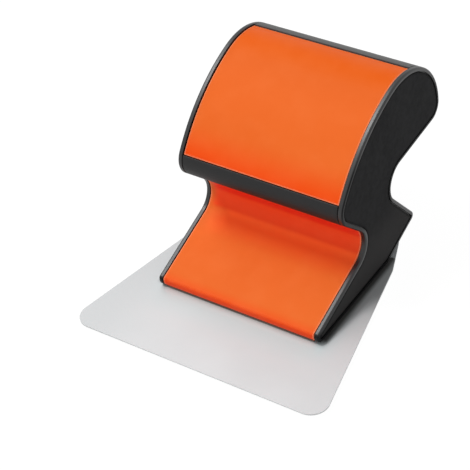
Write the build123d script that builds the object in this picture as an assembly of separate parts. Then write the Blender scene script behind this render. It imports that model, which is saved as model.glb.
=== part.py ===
from build123d import *
from math import acos, atan2, cos, degrees, hypot, radians, sin, sqrt, tan
import os

# Wide-handled spreading tool: a flared stainless blade under a full-width handle.
# Millimetres, +Z up, +Y from the blade's edge towards the back of the handle.
# Side views are drawn as (y, z) with y = 0 at the foot's toe and z = 0 on the blade's
# top face. The finished pieces are moved so that the origin lies on the resting face,
# under the middle of the whole tool's box.

# Blade
blade_thickness = 0.8
blade_front_width = 150.0
blade_flare = 11.8          # degrees that each side runs outwards towards the front
blade_overhang = 39.7       # front edge ahead of the foot's datum
blade_shoulder = 66.4       # here the sides turn further inwards
blade_back_flare = 21.1     # degrees that each side runs outwards behind the shoulder
blade_back = 90.0           # rear edge behind the toe
blade_front_radius = 9.0
blade_shoulder_radius = 12.0
blade_back_radius = 6.0

# Handle across its width
grip_length = 90.9          # the core, between the end caps
cap_thickness = 2.5
cap_round = 1.0             # on the end caps' outer edge
cap_inner_round = 0.3       # on the edge beside the skins

# Side view of the handle: foot
toe = 2.2                   # y of the toe's upright face
toe_radius = 3.6            # from the toe's face round to the sole
ramp_angle = 18.5
ramp_foot = -16.1           # the ramp's line meets the blade here
ramp_round = 2.0            # from the ramp over to the toe's face
heel = 70.0                 # here the foot's underside leaves the blade
heel_radius = 2.0
tail_corner = (99.6, 10.6)
tail_radius = 2.8

# Side view: throats in front and behind, given by the corner that each one rounds off
throat_corner = 60.0        # y on the ramp's line
throat_radius = 10.9
back_throat_corner = (66.9, 51.2)
back_throat_radius = 11.1

# Side view: head, a chain of arcs that run smoothly into each other
lip_centre = (42.7, 58.9)
lip_radius = 11.1
palm_radius = 92.0
crest_centre = (92.5, 64.7)
crest_radius = 36.1
back_radius = 8.6

# Skins that wrap the core: the grips lie flush with the end caps and the panels lie lower
skin_thickness = 2.6        # of the grips
upper_sink = 0.8            # from the grips' faces down to the upper panel's
lower_sink = 0.2            # the same for the lower panel
skin_edge = 0.3             # rounding on the skins' outer edges
skin_gap = 0.1              # between a skin and the core
seam_gap = 0.25             # between neighbouring skins
skin_end_gap = 0.3          # between a skin's end and the end cap
lip_seam_setback = 2.0      # behind the lip's arc, on its underside
palm_seam_setback = 1.3     # down the lip's arc from the palm's
crest_seam_angle = 69.2     # on the crest's arc
toe_seam_setback = 1.2      # behind the toe's arc
heel_seam_setback = 1.6     # behind the heel

# Rails that hold the skins in the core's slots
rail_neck_width = 2.4
rail_neck_depth = 1.4
rail_head_width = 5.0
rail_head_depth = 1.4
rail_gap = 0.15
slot_wall = 1.6

# Core
core_wall = 2.6
web_thickness = 2.0
neck_web = 64.5             # y of the web that stands in the neck
head_web = 97.0             # y of the web that props the head
lip_port_angle = 130.0      # of the screw port in the lip, on the lip's arc
foot_port = 44.0            # y of the port between the nut bars
tail_port = 11.0            # of the last port, from the heel up the tail's underside
port_wall = 1.7             # round each screw port

# Sole, clamp plate and nut bars
gasket_thickness = 1.0
gasket_inset = 1.0          # behind the toe's face and ahead of the heel
gasket_side_inset = 1.0
plate_thickness = 2.5
plate_front = 6.0
plate_back = 80.0
plate_side_inset = 3.0      # from the ends of the grip
plate_corner = 5.0
bar_thickness = 3.0
bar_width = 10.0
bar_end_inset = 3.0
bar_places = (31.0, 57.0)   # y of the front and the rear bar
bar_rib = 1.2               # ribs on the sole beside each bar
bar_gap = 0.2

# Screws
blade_screw_size = 4.0
blade_screw_head = 7.6
blade_screw_pitch = 34.0
blade_screw_count = 3       # in each nut bar
cap_screw_size = 3.9
cap_screw_head = 6.0
cap_screw_length = 16.0
hole_gap = 0.25             # round a shank in a clearance hole
thread_gap = 0.05           # round a shank in its thread
head_sink = 0.1             # heads lie this far below the face
drive_size = 2.5            # across the flats of the hexagon drive
drive_depth = 1.2

# Inlays in the end caps
inlay_recess = 1.1          # depth of the recess that the inlay lies in
inlay_thickness = 0.9
inlay_rim = 1.9             # width of the cap's rim beside the recess
inlay_gap = 0.5             # groove round the inlay
inlay_edge = 0.4            # rounding on the inlay's outer edge


def polar(centre, radius, angle):
    """Point at a radius and an angle in degrees round a centre."""
    turn = radians(angle)
    return (centre[0] + radius * cos(turn), centre[1] + radius * sin(turn))


def heading(start, end):
    """Direction in degrees from one point to another."""
    return degrees(atan2(end[1] - start[1], end[0] - start[0]))


def between(start, end, share):
    """Point part of the way from one point to another."""
    return (start[0] + (end[0] - start[0]) * share, start[1] + (end[1] - start[1]) * share)


def span(start, end):
    return hypot(end[0] - start[0], end[1] - start[1])


def touch_angle(point, centre, radius, side):
    """Where on a circle a line from an outside point touches it, in degrees."""
    return heading(centre, point) + side * degrees(acos(radius / span(centre, point)))


# Points that the side view's chain of lines and arcs turns on
def on_ramp(y):
    return (y, (y - ramp_foot) * tan(radians(ramp_angle)))


throat_point = on_ramp(throat_corner)
back_centre = (crest_centre[0] + crest_radius - back_radius, crest_centre[1])
heel_point = (heel, 0.0)

lip_reach = palm_radius - lip_radius
crest_reach = palm_radius - crest_radius
lip_to_crest = span(lip_centre, crest_centre)
palm_along = (lip_reach ** 2 - crest_reach ** 2 + lip_to_crest ** 2) / (2 * lip_to_crest)
palm_aside = sqrt(lip_reach ** 2 - palm_along ** 2)
head_tilt = heading(lip_centre, crest_centre)
palm_centre = polar(polar(lip_centre, palm_along, head_tilt), palm_aside, head_tilt - 90)

lip_start = touch_angle(throat_point, lip_centre, lip_radius, -1) % 360
palm_start = heading(palm_centre, lip_centre)
palm_end = heading(palm_centre, crest_centre)
back_end = touch_angle(back_throat_corner, back_centre, back_radius, 1) % 360 - 360
lip_point = polar(lip_centre, lip_radius, lip_start)
back_point = polar(back_centre, back_radius, back_end)


def handle_outline():
    """Side view of the handle at the faces of the end caps and grips, as one face."""
    chain = CenterArc(lip_centre, lip_radius, lip_start, palm_start - lip_start)
    chain += CenterArc(palm_centre, palm_radius, palm_start, palm_end - palm_start)
    chain += CenterArc(crest_centre, crest_radius, palm_end, -palm_end)
    chain += CenterArc(back_centre, back_radius, 0, back_end)
    corners = [back_point, back_throat_corner, tail_corner, heel_point, (toe, 0.0), on_ramp(toe)]
    rounds = [back_throat_radius, tail_radius, heel_radius, toe_radius, ramp_round, throat_radius]
    chain += FilletPolyline(*corners, throat_point, lip_point, radius=rounds)
    return make_face(chain)


def block(low, high):
    """Rectangle between two opposite corners, drawn in the side view."""
    middle = between(low, high, 0.5)
    return Pos(middle[0], middle[1]) * Rectangle(high[0] - low[0], high[1] - low[1])


def across(section, start, end):
    """Side-view section carried across the width, between two values of x."""
    return Pos(start, 0, 0) * extrude(Plane.YZ * section, end - start)


def nearest_face(sketch, point):
    """The one face of a sketch that lies closest to a point of the side view."""
    return sketch.faces().sort_by_distance(Vector(*point))[0]


outline = handle_outline()
reach = 400.0               # longer than the tool, for cuts that run right through
half_grip = grip_length / 2
half_tool = half_grip + cap_thickness
cap_floor = half_tool - inlay_recess
core_inset = skin_thickness + skin_gap
upper_outline = offset(outline, -upper_sink)
lower_outline = offset(outline, -lower_sink)
core_outline = offset(outline, -core_inset)
hollow_outline = offset(outline, -(core_inset + core_wall))


# Seams between the skins: a point on the outline and the direction straight out of it
lip_heading = heading(lip_point, throat_point)
palm_seam_angle = palm_start + degrees(palm_seam_setback / lip_radius)
seams = {
    "lip": (polar(lip_point, lip_seam_setback, lip_heading), lip_start),
    "palm": (polar(lip_centre, lip_radius, palm_seam_angle), palm_seam_angle),
    "crest": (polar(crest_centre, crest_radius, crest_seam_angle), crest_seam_angle),
    "toe": ((toe + toe_radius + toe_seam_setback, 0.0), -90.0),
    "heel": ((heel + heel_seam_setback, 0.0), -90.0),
}


def seam_cut(point, normal):
    return Pos(*point) * Rot(0, 0, normal) * Rectangle(4 * skin_thickness, seam_gap)


# Rails: a point on the outline, the direction straight out of it and the skin they hold
underside_share = 0.28      # along the head's underside, from the back
tail_share = 0.66           # along the tail's upper face, from the throat
lip_underside_share = 0.72  # along the lip's underside, from the throat
ramp_rail = 19.0            # y on the ramp
tail_heading = heading(back_throat_corner, tail_corner)
back_heading = heading(back_point, back_throat_corner)


def on_palm(share):
    angle = palm_start + (palm_end - palm_start) * share
    return (polar(palm_centre, palm_radius, angle), angle)


lip_mid_angle = (lip_start + palm_seam_angle) / 2
lower_rails = [
    (on_ramp(ramp_rail), ramp_angle + 90),
    (between(throat_point, lip_point, lip_underside_share), lip_start),
]
lip_rails = [(polar(lip_centre, lip_radius, lip_mid_angle), lip_mid_angle)]
upper_rails = [on_palm(0.25), on_palm(0.8)]
rear_rails = [
    (polar(crest_centre, crest_radius, 28.0), 28.0),
    (between(back_point, back_throat_corner, underside_share), back_heading + 90),
    (between(back_throat_corner, tail_corner, tail_share), tail_heading + 90),
]


def inward_strip(place, start, end, width):
    """Rectangle that runs straight in from the outline, between two depths."""
    point, normal = place
    middle = polar(point, -(start + end) / 2, normal)
    return Pos(*middle) * Rot(0, 0, normal) * Rectangle(end - start, width)


rail_root = skin_thickness / 2
head_start = core_inset + rail_neck_depth
head_end = head_start + rail_head_depth


def rail(place):
    neck = inward_strip(place, rail_root, head_end, rail_neck_width)
    return neck + inward_strip(place, head_start, head_end, rail_head_width)


def rail_slot(place):
    neck = inward_strip(place, 0, head_end, rail_neck_width + 2 * rail_gap)
    head_low, head_high = head_start - rail_gap, head_end + rail_gap
    return neck + inward_strip(place, head_low, head_high, rail_head_width + 2 * rail_gap)


def rail_bed(place):
    """Extra metal in the core round a rail's slot."""
    width = rail_head_width + 2 * (rail_gap + slot_wall)
    return inward_strip(place, core_inset, head_end + rail_gap + slot_wall, width)


def skin(face, seat, rails):
    """One skin: the stretch of the outer ring round a point, with its rails."""
    ring = face - offset(outline, -skin_thickness)
    for point, normal in seams.values():
        ring -= seam_cut(point, normal)
    ring -= block((-reach, -reach), (reach, gasket_thickness))
    section = nearest_face(ring, seat)
    for place in rails:
        section += rail(place)
    half = half_grip - skin_end_gap
    piece = across(section, -half, half)
    return fillet(rim_edges(piece, face), skin_edge)


def rim_edges(piece, face):
    """Edges that bound the piece's outer skin, which lies on the side view's outline."""
    line = Plane.YZ * face.face().outer_wire()
    skins = [f for f in piece.faces() if on_line(f.center(), line)]
    edges = [edge for f in skins for edge in f.edges()]
    return [e for e in edges if sum(e.is_same(other) for other in edges) == 1]


def on_line(point, line):
    return line.distance_to(Vector(0, point.Y, point.Z)) < 0.01


# Screw ports of the core, each one half sunk in a wall
port_radius = cap_screw_size / 2 + port_wall
port_depth = core_inset + core_wall + port_radius - port_wall / 2
sole_top = gasket_thickness + core_wall
tail_underside = heading(heel_point, tail_corner)
ports = [
    polar(lip_centre, lip_radius - port_depth, lip_port_angle),
    polar(back_centre, back_radius - port_depth, back_end / 2),
    (foot_port, sole_top + port_radius - port_wall / 2),
    polar(polar(heel_point, tail_port, tail_underside), port_depth, tail_underside + 90),
]


def sole_section():
    """Flat floor of the core, down on the gasket."""
    front = toe + toe_radius + toe_seam_setback + seam_gap / 2
    back = heel + heel_seam_setback - seam_gap / 2
    return block((front, gasket_thickness), (back, sole_top))


bar_room_half = bar_width / 2 + bar_gap
foot_solid = bar_places[0] - bar_room_half      # the foot is solid from its toe back to here


def bar_ribs():
    """Low ribs on the sole that keep each nut bar in its place."""
    ribs = Sketch()
    low, high = sole_top - core_wall / 2, sole_top + bar_thickness / 2
    for middle in bar_places:
        for edge in (middle - bar_room_half - bar_rib, middle + bar_room_half):
            ribs += block((edge, low), (edge + bar_rib, high))
    return ribs


def bar_room():
    """Room over the sole for the nut bars and the tips of their screws."""
    room = Sketch()
    high = sole_top + bar_thickness + bar_gap
    for middle in bar_places:
        room += block((middle - bar_room_half, sole_top), (middle + bar_room_half, high))
    return room


def core_section():
    core = core_outline + sole_section()
    hollow = hollow_outline - block((-reach, -reach), (reach, sole_top))
    hollow -= block((-reach, -reach), (foot_solid, reach))
    hollow -= block((neck_web - web_thickness / 2, 0), (neck_web + web_thickness / 2, reach))
    hollow -= block((head_web - web_thickness / 2, 0), (head_web + web_thickness / 2, reach))
    for place in lower_rails + lip_rails + upper_rails + rear_rails:
        hollow -= rail_bed(place)
    for centre in ports:
        hollow -= Pos(*centre) * Circle(port_radius)
    hollow -= bar_ribs()
    core -= hollow
    core -= bar_room()
    for place in lower_rails + lip_rails + upper_rails + rear_rails:
        core -= rail_slot(place)
    for centre in ports:
        core -= Pos(*centre) * Circle(cap_screw_size / 2 + thread_gap)
    return core


# Blade screws, in the plan view
screw_steps = [i - (blade_screw_count - 1) / 2 for i in range(blade_screw_count)]
blade_screw_places = [(blade_screw_pitch * step, y) for y in bar_places for step in screw_steps]
plate_bottom = -(blade_thickness + plate_thickness)
bar_top = sole_top + bar_thickness


def drill(size, low, high):
    """Upright holes at every blade screw, from one height to another."""
    drills = Part()
    for x, y in blade_screw_places:
        drills += Pos(x, y, (low + high) / 2) * Cylinder(size / 2, high - low)
    return drills


def countersunk_screw(size, head, length):
    """Screw along +Z with its flat head face at z = 0 and a hexagon drive in it."""
    head_height = (head - size) / 2
    screw = Pos(0, 0, length / 2) * Cylinder(size / 2, length)
    screw += Pos(0, 0, head_height / 2) * Cone(head / 2, size / 2, head_height)
    drive = extrude(RegularPolygon(drive_size / 2, 6, major_radius=False), drive_depth)
    return screw - drive


def sink(size, head, depth):
    """Countersink that fits the head, from a face at z = 0 down to a depth."""
    head_height = (head - size) / 2
    grown = hole_gap + head_sink
    cone = Cone(head / 2 + grown, size / 2 + grown, head_height)
    return Pos(0, 0, head_height / 2) * cone + Pos(0, 0, depth / 2) * Cylinder(size / 2 + hole_gap, depth)


def make_blade():
    front = -blade_overhang
    half_front = blade_front_width / 2
    half_turn = half_front - (blade_shoulder - front) * tan(radians(blade_flare))
    half_back = half_turn - (blade_back - blade_shoulder) * tan(radians(blade_back_flare))
    right = [(half_front, front), (half_turn, blade_shoulder), (half_back, blade_back)]
    left = [(-x, y) for x, y in reversed(right)]
    radii = [blade_front_radius, blade_shoulder_radius, blade_back_radius]
    edge = FilletPolyline(*right, *left, radius=radii + radii[::-1], close=True)
    sheet = Pos(0, 0, -blade_thickness) * extrude(make_face(edge), blade_thickness)
    return sheet - drill(blade_screw_size + 2 * hole_gap, -blade_thickness, 0)


def make_clamp_plate():
    half = half_grip - plate_side_inset
    middle = (plate_front + plate_back) / 2
    shape = RectangleRounded(2 * half, plate_back - plate_front, plate_corner)
    plate = Pos(0, middle, plate_bottom) * extrude(shape, plate_thickness)
    for x, y in blade_screw_places:
        plate -= Pos(x, y, plate_bottom) * sink(blade_screw_size, blade_screw_head, plate_thickness)
    return plate


def make_sole_gasket():
    section = block((toe + gasket_inset, 0), (heel - gasket_inset, gasket_thickness))
    half = half_grip - gasket_side_inset
    return across(section, -half, half) - drill(blade_screw_size + 2 * hole_gap, 0, gasket_thickness)


def make_handle_core():
    core = across(core_section(), -half_grip, half_grip)
    return core - drill(blade_screw_size + 2 * hole_gap, gasket_thickness, sole_top)


def make_nut_bar(middle):
    half = half_grip - bar_end_inset
    bar = across(block((middle - bar_width / 2, sole_top), (middle + bar_width / 2, bar_top)), -half, half)
    return bar - drill(blade_screw_size + 2 * thread_gap, sole_top, bar_top)


def make_blade_screws():
    length = bar_top - plate_bottom - head_sink
    screw = countersunk_screw(blade_screw_size, blade_screw_head, length)
    return [Pos(x, y, plate_bottom + head_sink) * screw for x, y in blade_screw_places]


def make_end_cap():
    """Right-hand end cap: a plate with rounded edges, a recess for its inlay and screw holes."""
    cap = across(outline, half_grip, half_tool)
    outer = cap.faces().sort_by(Axis.X)[-1]
    cap = fillet(outer.edges(), cap_round)
    inner = cap.faces().sort_by(Axis.X)[0]
    cap = fillet(inner.edges(), cap_inner_round)
    cap -= across(offset(outline, -inlay_rim), cap_floor, half_tool)
    for y, z in ports:
        cap -= Pos(cap_floor, y, z) * Rot(0, -90, 0) * sink(cap_screw_size, cap_screw_head, cap_thickness)
    return cap


def make_cap_inlay():
    top = cap_floor + inlay_thickness
    inlay = across(offset(outline, -(inlay_rim + inlay_gap)), cap_floor, top)
    outer = inlay.faces().sort_by(Axis.X)[-1]
    return fillet(outer.edges(), inlay_edge)


def make_cap_screws():
    screw = countersunk_screw(cap_screw_size, cap_screw_head, cap_screw_length)
    return [Pos(cap_floor - head_sink, y, z) * Rot(0, -90, 0) * screw for y, z in ports]


def mirrored(pieces):
    return [mirror(piece, Plane.YZ) for piece in pieces]


toe_seat = on_ramp(toe + toe_radius)
lip_seat = (lip_centre[0] - lip_radius, lip_centre[1])
palm_seat = on_palm(0.5)[0]
back_seat = (back_centre[0] + back_radius, back_centre[1])

front_bar, rear_bar = bar_places
right_cap = [make_end_cap()]
right_inlay = [make_cap_inlay()]
right_screws = make_cap_screws()

nodes = {
    "blade": [make_blade()],
    "clamp_plate": [make_clamp_plate()],
    "sole_gasket": [make_sole_gasket()],
    "handle_core": [make_handle_core()],
    "front_nut_bar": [make_nut_bar(front_bar)],
    "rear_nut_bar": [make_nut_bar(rear_bar)],
    "blade_screws": make_blade_screws(),
    "lower_panel": [skin(lower_outline, toe_seat, lower_rails)],
    "front_grip_strip": [skin(outline, lip_seat, lip_rails)],
    "upper_panel": [skin(upper_outline, palm_seat, upper_rails)],
    "rear_grip_cover": [skin(outline, back_seat, rear_rails)],
    "right_end_cap": right_cap,
    "left_end_cap": mirrored(right_cap),
    "right_cap_inlay": right_inlay,
    "left_cap_inlay": mirrored(right_inlay),
    "right_cap_screws": right_screws,
    "left_cap_screws": mirrored(right_screws),
}

# The origin goes to the resting face, midway between the blade's edge and the head's back
head_back = back_seat[0]
to_origin = Pos(0, (blade_overhang - head_back) / 2, -plate_bottom)

os.makedirs("parts", exist_ok=True)
for name, solids in nodes.items():
    moved = [to_origin * piece.solid() for piece in solids]
    export_step(Compound(children=moved) if len(moved) > 1 else moved[0], f"parts/{name}.step")
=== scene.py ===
"""Finishes, floor, light and camera for a wide-handled spreading blade, on its CAD shapes."""

import math

import bpy
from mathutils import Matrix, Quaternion, Vector

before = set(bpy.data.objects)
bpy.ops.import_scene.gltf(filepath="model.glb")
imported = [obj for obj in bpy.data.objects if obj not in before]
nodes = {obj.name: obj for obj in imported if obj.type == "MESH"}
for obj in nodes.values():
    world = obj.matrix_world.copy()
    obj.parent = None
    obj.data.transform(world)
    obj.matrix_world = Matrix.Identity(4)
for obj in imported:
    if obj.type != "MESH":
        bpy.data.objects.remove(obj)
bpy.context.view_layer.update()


# ---------------------------------------------------------------- shader helpers

NOISE_MIDDLE = (0.3, 0.7)           # most of a noise's values lie in this band
EDGE_TURN = (0.001, 0.04)           # how far a softened normal turns, on a flat and on an edge


class Maths:
    """A shader socket that takes part in Python expressions."""

    def __init__(self, tree, socket):
        self.tree = tree
        self.socket = socket

    def join(self, operation, first, second=None):
        return self.tree.add("ShaderNodeMath", {"operation": operation}, [first, second]).out()

    def __add__(self, other):
        return self.join("ADD", self, other)

    def __sub__(self, other):
        return self.join("SUBTRACT", self, other)

    def __rsub__(self, other):
        return self.join("SUBTRACT", other, self)

    def __mul__(self, other):
        return self.join("MULTIPLY", self, other)

    def __gt__(self, other):
        return self.join("GREATER_THAN", self, other)

    def __lt__(self, other):
        return self.join("LESS_THAN", self, other)

    def __abs__(self):
        return self.join("ABSOLUTE", self)

    __radd__ = __add__
    __rmul__ = __mul__

    def most(self, other):
        return self.join("MAXIMUM", self, other)

    def ramp(self, low, high, start=0.0, end=1.0):
        """Runs smoothly from start at low to end at high."""
        return self.tree.add(
            "ShaderNodeMapRange",
            {"interpolation_type": "SMOOTHSTEP"},
            {"Value": self, "From Min": low, "From Max": high, "To Min": start, "To Max": end},
        ).out()

    def after(self, band):
        """0 before a band of values and 1 past it."""
        return self.ramp(*band)

    def before(self, band):
        """1 before a band of values and 0 past it."""
        return self.ramp(*band, 1, 0)


class Placed:
    """A node that has been put into a tree."""

    def __init__(self, tree, node):
        self.tree = tree
        self.node = node

    def out(self, name=0):
        return Maths(self.tree, self.node.outputs[name])


class Tree:
    """The node tree of a material or of the world, with the coordinates that it works in."""

    def __init__(self, owner, coordinates):
        owner.use_nodes = True
        self.links = owner.node_tree.links
        self.nodes = owner.node_tree.nodes
        self.nodes.clear()
        self.point = self.add("ShaderNodeTexCoord").out(coordinates)

    def add(self, kind, settings=None, sockets=None):
        node = self.nodes.new(kind)
        for name, value in (settings or {}).items():
            setattr(node, name, value)
        pairs = sockets.items() if isinstance(sockets, dict) else enumerate(sockets or [])
        for name, value in pairs:
            if isinstance(value, Maths):
                self.links.new(value.socket, node.inputs[name])
            elif value is not None:
                node.inputs[name].default_value = value
        return Placed(self, node)

    def along(self, vector, letter):
        return self.add("ShaderNodeSeparateXYZ", None, [vector]).out(letter)

    def axis(self, letter):
        return self.along(self.point, letter)

    def seen(self):
        """1 for rays from the camera, straight or by way of gloss or glass, and 0 for the rest."""
        path = self.add("ShaderNodeLightPath")
        seen = path.out("Is Camera Ray")
        for kind in ("Is Glossy Ray", "Is Transmission Ray"):
            seen = seen.most(path.out(kind))
        return seen


class Finish(Tree):
    """A procedural material."""

    def __init__(self, name):
        self.material = bpy.data.materials.new(name)
        super().__init__(self.material, "Object")

    def noise(self, size, detail=3.0, stretch=(1, 1, 1), roughness=0.5):
        """Noise from 0 to 1, with lumps about size metres across, times stretch on each axis."""
        scale = [1 / (size * times) for times in stretch]
        place = self.add("ShaderNodeMapping", None, {"Vector": self.point, "Scale": scale}).out()
        return self.add(
            "ShaderNodeTexNoise",
            None,
            {"Vector": place, "Scale": 1.0, "Detail": detail, "Roughness": roughness},
        ).out("Fac")

    def normal(self):
        return self.add("ShaderNodeNewGeometry").out("Normal")

    def edge(self, radius):
        """Rises from 0 to 1 towards the piece's edges, within about radius metres."""
        softened = self.add("ShaderNodeBevel", {"samples": 6}, {"Radius": radius}).out("Normal")
        alike = self.add(
            "ShaderNodeVectorMath", {"operation": "DOT_PRODUCT"}, [softened, self.normal()]
        ).out("Value")
        return (1 - alike).after(EDGE_TURN)

    def mix(self, factor, first, second):
        """A colour between first and second."""
        return self.add(
            "ShaderNodeMix", {"data_type": "RGBA"}, {0: factor, 6: first, 7: second}
        ).out(2)

    def drift(self, noise, first, second, band=NOISE_MIDDLE):
        """A colour that wanders between first and second as noise crosses a band of values."""
        return self.mix(noise.after(band), first, second)

    def bump(self, height, depth):
        return self.add("ShaderNodeBump", None, {"Height": height, "Distance": depth}).out("Normal")

    def shader(self, **sockets):
        names = {name.replace("_", " "): value for name, value in sockets.items()}
        return self.add("ShaderNodeBsdfPrincipled", None, names).out()

    def merge(self, factor, first, second):
        """A shader between first and second."""
        return self.add("ShaderNodeMixShader", None, [factor, first, second]).out()

    def close(self, shader):
        self.add("ShaderNodeOutputMaterial", None, {"Surface": shader})
        return self.material

    def done(self, **sockets):
        return self.close(self.shader(**sockets))


def linear(value):
    """A display value from 0 to 1 as linear light."""
    return ((value + 0.055) / 1.055) ** 2.4 if value > 0.04045 else value / 12.92


def colour(red, green, blue):
    """Display values from 0 to 255 as a linear colour."""
    return [linear(value / 255) for value in (red, green, blue)] + [1.0]


def around(tint, step):
    """Two colours, one a step darker than the tint and one a step lighter."""
    return [colour(*[value + change for value in tint]) for change in (-step, step)]


def paint(material, *names):
    for name in names:
        slots = nodes[name].data.materials
        slots.clear()
        slots.append(material)


# ---------------------------------------------------------------- places on the tool
# In metres: X runs to the right, Y to the back and Z up from the floor. A pair is a band along
# that axis, over which a finish changes smoothly.

# The orange panels
HEAD_UNDERSIDE = 0.060              # Z: parts the upper panel from the lower one
PALM = (0.000, 0.022)               # Y: the slope behind the lip ends, the top of the head starts
CREST = (0.034, 0.050)              # Y: the turn down to the back, painted a deeper orange as shade
LIP_TURN = (0.066, 0.082)           # Z: the turn down to the lip, painted redder as shade
THROAT = (-0.014, 0.000)            # Y: the ramp ends, the throat starts
NECK = (0.0245, 0.0265)             # Z: the throat turns upright
NECK_LEFT_END = (-0.0455, -0.0395)  # X: its open left end, lit from the left, where the painted shade under the lip stops
HOLLOW_LEFT_END = (-0.046, -0.030)  # X: the same end at the bottom of the throat, painted duller; further in, the bottom is painted full red, as painted light in the head's shade
UNDER_LIP = (0.0325, 0.0355)        # Z: the throat leans out under the lip, painted darker and redder as shade
TOE_TURN = (0.0080, 0.0113)         # Z: the turn under the toe, painted redder as shade
PANEL_EDGE = 0.0014                 # how far in the painted highlight along the edges reaches
PANEL_HIGHLIGHT = 0.9                    # and its strength at the edge
PANEL_VEIL = 0.03                   # strength of the faint pale patches

# The grips, the end caps and their inlays
REAR_GRIP = (0.0, 0.03)             # Y: the lip strip is before it, the rear cover past it; the cover's greyer base is painted light
CAP_HEAD = (0.078, 0.090)           # Z: from here down, the caps' sides get less gloss as painted shade
CAP_NECK = (0.036, 0.044)           # Z: down to here
CAP_SIDE = (0.3, 0.7)               # where the surface faces more to a side than this
CAP_TOE = (0.0085, 0.0105)          # Z: and the caps get less gloss as painted shade below this
INLAY_FOOT = (0.015, 0.045)         # Z: painted light, the inlays are paler below this
INLAY_EDGE = 0.0020                 # how far in the painted shade, a dark line along their edges, reaches

# The blade
AHEAD_OF_TOE = (-0.062, -0.0435)    # Y: the sheet just ahead of the toe, painted less red against the toe's orange light
TOE_ENDS = (0.040, 0.062)           # X, either side: and as wide as the toe
LEFT_SIDE = (-0.066, -0.020)        # X: painted shade, greyer to the left
REAR = (-0.060, 0.020)              # Y: painted shade, greyer to the back
FOOT_SIDE = 0.0470                  # X, either side: the painted shadow beside the foot starts here, under the caps
FOOT_SHADOW_SIDE = (0.0486, 0.0520)       # X, either side: and fades here
FOOT_SHADOW_FRONT = (-0.0415, -0.0370)    # Y
FOOT_SHADOW_REAR = 0.030                  # Y


# ---------------------------------------------------------------- finishes


def orange_plastic():
    """Satin plastic with painted shade: a deeper orange on the crest, and redder where it turns
    down to the lip, into the throat and under the toe; painted light keeps the throat's bottom
    bright, and a painted highlight runs along the edges.
    """
    finish = Finish("orange_plastic")
    right, back, up = finish.axis("X"), finish.axis("Y"), finish.axis("Z")
    cloud = finish.noise(0.030)
    grain = finish.noise(0.0005, 2.0)

    head = up > HEAD_UNDERSIDE
    slope = finish.drift(cloud, colour(218, 96, 35), colour(221, 100, 39))
    palm = finish.mix(back.after(PALM) * head, slope, colour(216, 94, 32))
    # Painted shade: a deeper orange on the crest, and redder at the turns down to the lip and under
    # the toe.
    crest = finish.mix(back.after(CREST) * head, palm, colour(222, 89, 0))
    lip = finish.mix(up.before(LIP_TURN) * head, crest, colour(228, 70, 14))
    outside = finish.mix(up.before(TOE_TURN), lip, colour(228, 62, 6))

    # Painted light and shade in the throat: its bottom is painted full red to stay bright in the
    # head's shade, less so at the open left end, and its upright part is painted darker and redder
    # under the lip.
    hollow = finish.mix(right.after(HOLLOW_LEFT_END), colour(201, 92, 37), colour(255, 100, 44))
    shaded = finish.mix(up.after(UNDER_LIP), colour(234, 70, 32), colour(223, 45, 25))
    neck = up.after(NECK) * right.after(NECK_LEFT_END)
    throat = back.after(THROAT) * (up < HEAD_UNDERSIDE)
    face = finish.mix(throat, outside, finish.mix(neck, hollow, shaded))

    veil = finish.noise(0.012).ramp(0.4, 0.7, 0, PANEL_VEIL)
    veiled = finish.mix(veil, face, colour(255, 160, 100))
    # Painted highlight: a pale line along the panels' edges.
    edge_highlight = PANEL_HIGHLIGHT * finish.edge(PANEL_EDGE)
    base = finish.mix(edge_highlight, veiled, colour(236, 142, 104))
    return finish.done(
        Base_Color=base,
        Roughness=0.42 + 0.06 * cloud + 0.06 * grain,
        Normal=finish.bump(grain, 0.000012),
        Specular_IOR_Level=0.2,
        Specular_Tint=[1.0, 0.35, 0.1, 1.0],
    )


def grip_rubber():
    """Soft matt rubber: near black on the lip strip, and a greyer base on the rear cover that is
    painted light, for the lamplight on its top.
    """
    finish = Finish("grip_rubber")
    grain = finish.noise(0.0004)
    strip = finish.drift(finish.noise(0.020), colour(7, 7, 8), colour(11, 11, 12))
    # Painted light: the rear cover is a greyer copy of the same rubber, for the light on its top.
    base = finish.mix(finish.axis("Y").after(REAR_GRIP), strip, colour(58, 57, 56))
    return finish.done(
        Base_Color=base,
        Roughness=0.5 + 0.1 * grain,
        Normal=finish.bump(grain, 0.00002),
        Specular_IOR_Level=0.4,
    )


def cap_plastic():
    """Glossy charcoal plastic, with less gloss as painted shade on the sides of the head and neck
    and at the toe, where they would mirror the bright floor.
    """
    finish = Finish("cap_plastic")
    up = finish.axis("Z")
    grain = finish.noise(0.0006, 2.0)
    base = finish.drift(finish.noise(0.020), colour(12, 12, 13), colour(16, 16, 17))
    rough = 0.38 + 0.06 * grain
    relief = finish.bump(grain, 0.00001)
    bright, dull = (
        finish.shader(Base_Color=base, Roughness=rough, Normal=relief, Specular_IOR_Level=gloss)
        for gloss in (0.6, 0.15)
    )
    # Painted shade: a less glossy copy on the sides of the head and neck and at the toe.
    sideways = abs(finish.along(finish.normal(), "X"))
    shaded_sides = up.before(CAP_HEAD) * up.after(CAP_NECK) * sideways.after(CAP_SIDE)
    shaded_parts = shaded_sides.most(up.before(CAP_TOE))
    return finish.close(finish.merge(shaded_parts, bright, dull))


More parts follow.
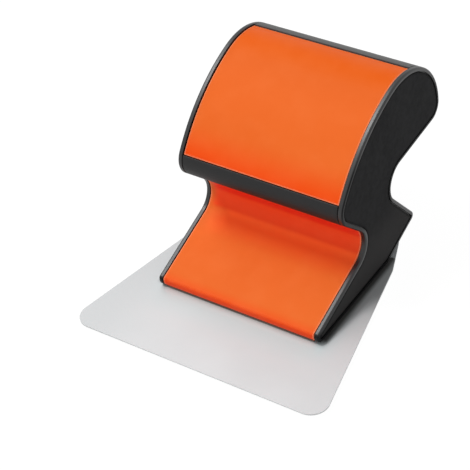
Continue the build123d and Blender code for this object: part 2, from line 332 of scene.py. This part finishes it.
def inlay_rubber():
    """Matt charcoal with a spark-eroded skin; paler at the foot, as painted light, and dark along
    the edges, as painted shade.
    """
    finish = Finish("inlay_rubber")
    grain = finish.noise(0.0004)
    blotches = 0.4 * finish.noise(0.020) + 0.6 * finish.noise(0.004, 4.0, roughness=0.7)
    skin = finish.drift(blotches, colour(24, 24, 25), colour(36, 36, 37), band=(0.35, 0.65))
    # Painted light: paler towards the foot.
    face = finish.mix(finish.axis("Z").before(INLAY_FOOT), skin, colour(52, 51, 51))
    # Painted shade: a dark line along the edges, as in the groove round the inlay.
    base = finish.mix(finish.edge(INLAY_EDGE), face, colour(8, 8, 9))
    return finish.done(
        Base_Color=base,
        Roughness=0.7 + 0.1 * grain,
        Normal=finish.bump(grain, 0.00003),
        Specular_IOR_Level=0.1,
    )


def blade_steel():
    """Matt stainless sheet, finely brushed from side to side, with a painted shadow beside the
    foot, painted shade to the left and the back, and less red painted ahead of the toe.
    """
    finish = Finish("blade_steel")
    right, back = finish.axis("X"), finish.axis("Y")
    sideways = abs(right)
    brushing = finish.noise(0.0004, 2.0, stretch=(50, 1, 1))
    sheet = finish.drift(finish.noise(0.040), colour(202, 203, 204), colour(206, 207, 208))
    # Painted light: less red just ahead of the toe, offsetting the orange light that the toe throws
    # on the sheet.
    by_toe = back.after(AHEAD_OF_TOE) * sideways.before(TOE_ENDS)
    front = finish.mix(by_toe, sheet, colour(193, 206, 207))
    # Painted shade: greyer to the left and to the back.
    left = finish.mix(right.before(LEFT_SIDE), front, colour(194, 196, 197))
    rear = finish.mix(0.6 * back.after(REAR), left, colour(189, 190, 191))
    # Painted shadow: a dark band on the sheet beside the foot.
    by_foot = sideways.before(FOOT_SHADOW_SIDE) * (sideways > FOOT_SIDE)
    foot_shadow = by_foot * back.after(FOOT_SHADOW_FRONT) * (back < FOOT_SHADOW_REAR)
    return finish.done(
        Base_Color=finish.mix(foot_shadow, rear, colour(66, 65, 64)),
        Metallic=0.25,
        Roughness=0.46 + 0.06 * brushing,
        Normal=finish.bump(brushing, 0.000003),
    )


def moulded(name, tint, rough):
    """Plain mouldings: the core and the sole's gasket."""
    finish = Finish(name)
    grain = finish.noise(0.0006)
    return finish.done(
        Base_Color=finish.drift(finish.noise(0.015), *around(tint, 4)),
        Roughness=rough + 0.1 * grain,
        Normal=finish.bump(grain, 0.00002),
    )


def metal(name, tint, rough):
    """Bare or plated metal: the clamp plate, the nut bars and the screws."""
    finish = Finish(name)
    grain = finish.noise(0.0006, 2.0)
    return finish.done(
        Base_Color=finish.drift(finish.noise(0.010), *around(tint, 6)),
        Metallic=1.0,
        Roughness=rough + 0.08 * grain,
        Normal=finish.bump(grain, 0.000004),
    )


paint(orange_plastic(), "upper_panel", "lower_panel")
paint(grip_rubber(), "front_grip_strip", "rear_grip_cover")
paint(moulded("gasket_rubber", (96, 84, 76), 0.8), "sole_gasket")
paint(moulded("core_plastic", (44, 45, 48), 0.55), "handle_core")
paint(cap_plastic(), "right_end_cap", "left_end_cap")
paint(inlay_rubber(), "right_cap_inlay", "left_cap_inlay")
paint(blade_steel(), "blade")
paint(metal("plate_aluminium", (206, 207, 209), 0.5), "clamp_plate")
paint(
    metal("plated_steel", (200, 202, 205), 0.35),
    "front_nut_bar",
    "rear_nut_bar",
    "blade_screws",
    "right_cap_screws",
    "left_cap_screws",
)


# ---------------------------------------------------------------- floor, light and camera
# Lengths are in metres and angles in degrees. The lens and its sensor are in millimetres.

AIM = Vector((-0.0121, -0.0202, 0.0344))
CAMERA_DISTANCE = 0.8629
CAMERA_AZIMUTH = 38.58
CAMERA_ELEVATION = 40.40
CAMERA_ROLL = -7.87
LENS = 132.19
SENSOR = 36

LAMP_DISTANCE = 3.0
KEY_DIRECTION = (-0.39, -0.134, 0.911)
KEY_SIZE = 0.82
KEY_POWER = 50.0
TOP_DIRECTION = (-0.46, 0.12, 0.88)
TOP_SIZE = 1.35
TOP_POWER = 13.5

# The room's light from all round, and what each side adds as a direction turns to face it
ROOM_DIM = 0.025
ROOM_BACK = 0.28
ROOM_FRONT = 1.12
ROOM_LEFT = 0.9
ROOM_RIGHT = 0.26
TOWARDS = (0.0, 0.9)                # a direction's part along an axis, towards its plus side
AWAY = (-0.9, 0.0)                  # and away from it
FRONT_FADE = (0.15, 0.75)           # as a direction rises, what the front adds fades
FRONT_HIGH_SHARE = 0.25             # to this share

FLOOR_HALF = 3.0
FLOOR_GREY = [0.8, 0.8, 0.8, 1]
FLOOR_GLOW = 1.05
FLOOR_SHADOW = 0.07                 # share of the lit floor in what the camera sees


def white_floor():
    """White to the camera and in reflections, with a faint shadow, and pale grey to the light."""
    finish = Finish("white_floor")
    lit = finish.add("ShaderNodeBsdfDiffuse", None, {"Color": FLOOR_GREY}).out()
    glow = finish.add("ShaderNodeEmission", None, {"Strength": FLOOR_GLOW}).out()
    shadowed = finish.merge(FLOOR_SHADOW, glow, lit)
    return finish.close(finish.merge(finish.seen(), lit, shadowed))


def studio_floor():
    mesh = bpy.data.meshes.new("studio_floor")
    low, high = -FLOOR_HALF, FLOOR_HALF
    corners = [(low, low, 0), (high, low, 0), (high, high, 0), (low, high, 0)]
    mesh.from_pydata(corners, [], [(0, 1, 2, 3)])
    mesh.materials.append(white_floor())
    floor = bpy.data.objects.new("studio_floor", mesh)
    bpy.context.scene.collection.objects.link(floor)


def studio_room():
    """White backdrop in a room that is brightest low in front and on the left."""
    world = bpy.data.worlds.new("studio_room")
    tree = Tree(world, "Generated")
    right, back, up = tree.axis("X"), tree.axis("Y"), tree.axis("Z")
    front = ROOM_FRONT * up.ramp(*FRONT_FADE, 1, FRONT_HIGH_SHARE)
    ends = ROOM_BACK * back.after(TOWARDS) + front * back.before(AWAY)
    sides = ROOM_RIGHT * right.after(TOWARDS) + ROOM_LEFT * right.before(AWAY)
    white = tree.seen()
    strength = white + (1 - white) * (ROOM_DIM + ends + sides)
    light = tree.add("ShaderNodeBackground", None, {"Color": [1, 1, 1, 1], "Strength": strength})
    tree.add("ShaderNodeOutputWorld", None, {"Surface": light.out()})
    bpy.context.scene.world = world


def put(name, data, spot, facing, roll=0.0):
    """Puts a lamp or camera on a spot, facing a direction and rolled about it."""
    holder = bpy.data.objects.new(name, data)
    holder.location = spot
    holder.rotation_mode = "QUATERNION"
    rolled = Quaternion((0, 0, 1), math.radians(roll))
    holder.rotation_quaternion = facing.to_track_quat("-Z", "Y") @ rolled
    bpy.context.scene.collection.objects.link(holder)
    return holder


def softbox(name, direction, size, power):
    """A square lamp in a direction from the tool, facing it."""
    lamp = bpy.data.lights.new(name, "AREA")
    lamp.shape = "SQUARE"
    lamp.size = size
    lamp.energy = power
    outward = Vector(direction).normalized()
    put(name, lamp, outward * LAMP_DISTANCE, -outward)


def camera():
    lens = bpy.data.cameras.new("camera")
    lens.lens = LENS
    lens.sensor_width = SENSOR
    turn, rise = math.radians(CAMERA_AZIMUTH), math.radians(CAMERA_ELEVATION)
    level = math.cos(rise)
    outward = Vector((math.sin(turn) * level, -math.cos(turn) * level, math.sin(rise)))
    spot = AIM + outward * CAMERA_DISTANCE
    bpy.context.scene.camera = put("camera", lens, spot, -outward, CAMERA_ROLL)


studio_floor()
studio_room()
softbox("key_softbox", KEY_DIRECTION, KEY_SIZE, KEY_POWER)
softbox("top_softbox", TOP_DIRECTION, TOP_SIZE, TOP_POWER)
camera()

bpy.context.scene.view_settings.view_transform = "Standard"
